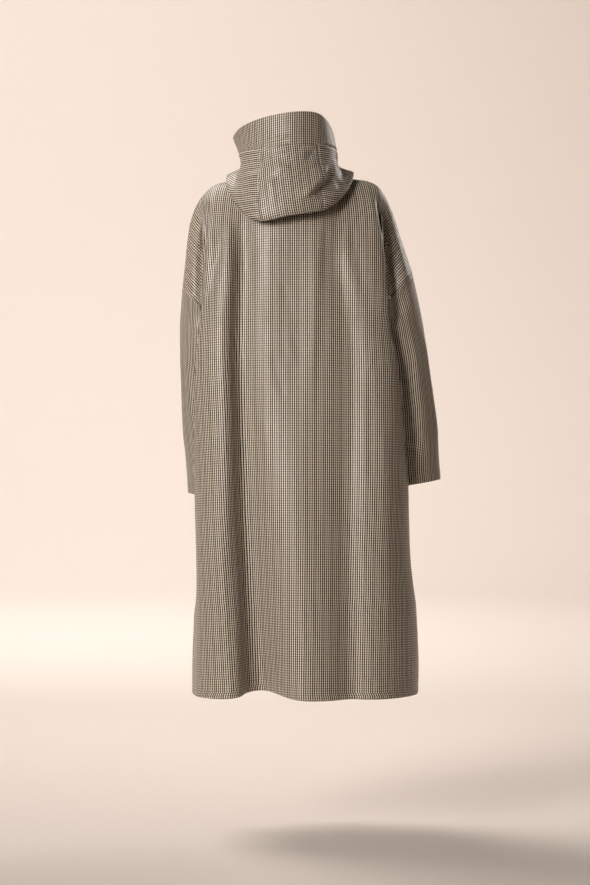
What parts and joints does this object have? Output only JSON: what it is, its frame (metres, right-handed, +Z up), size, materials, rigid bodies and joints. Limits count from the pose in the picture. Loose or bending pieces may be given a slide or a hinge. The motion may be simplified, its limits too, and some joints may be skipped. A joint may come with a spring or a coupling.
{
  "type": "hooded rain coat",
  "caption": "Oversized calf-length hooded coat in fine check cloth, worn form with hollow sleeves, hood down and standing round the neck, snap front and side vents.",
  "frame": {"origin": "middle of the neck's base, level with the tops of the shoulders, where the wearer's shoulders carry the coat", "axes": "+Z up the wearer's spine, -Y towards the coat's front, +X towards the coat's left sleeve"},
  "size_m": [0.5851, 0.4036, 1.2904],
  "materials": {
    "check_cloth": "woven gun check with a slight coated sheen",
    "snap": "satin moulded snap caps"
  },
  "bodies": {
    "root": {"back_yoke": "check_cloth", "back_shoulder_right": "check_cloth", "back_shoulder_left": "check_cloth", "back_skirt": "check_cloth", "front_left_yoke": "check_cloth", "front_left_shoulder": "check_cloth", "front_left_skirt": "check_cloth", "front_right_yoke": "check_cloth", "front_right_shoulder": "check_cloth", "front_right_skirt": "check_cloth", "sleeve_left": "check_cloth", "sleeve_right": "check_cloth", "hood_center": "check_cloth", "hood_side_left": "check_cloth", "hood_side_right": "check_cloth", "hood_brim": "check_cloth", "button_1": "snap", "button_2": "snap", "button_3": "snap", "button_4": "snap", "button_5": "snap", "button_6": "snap"}
  },
  "joints": []
}
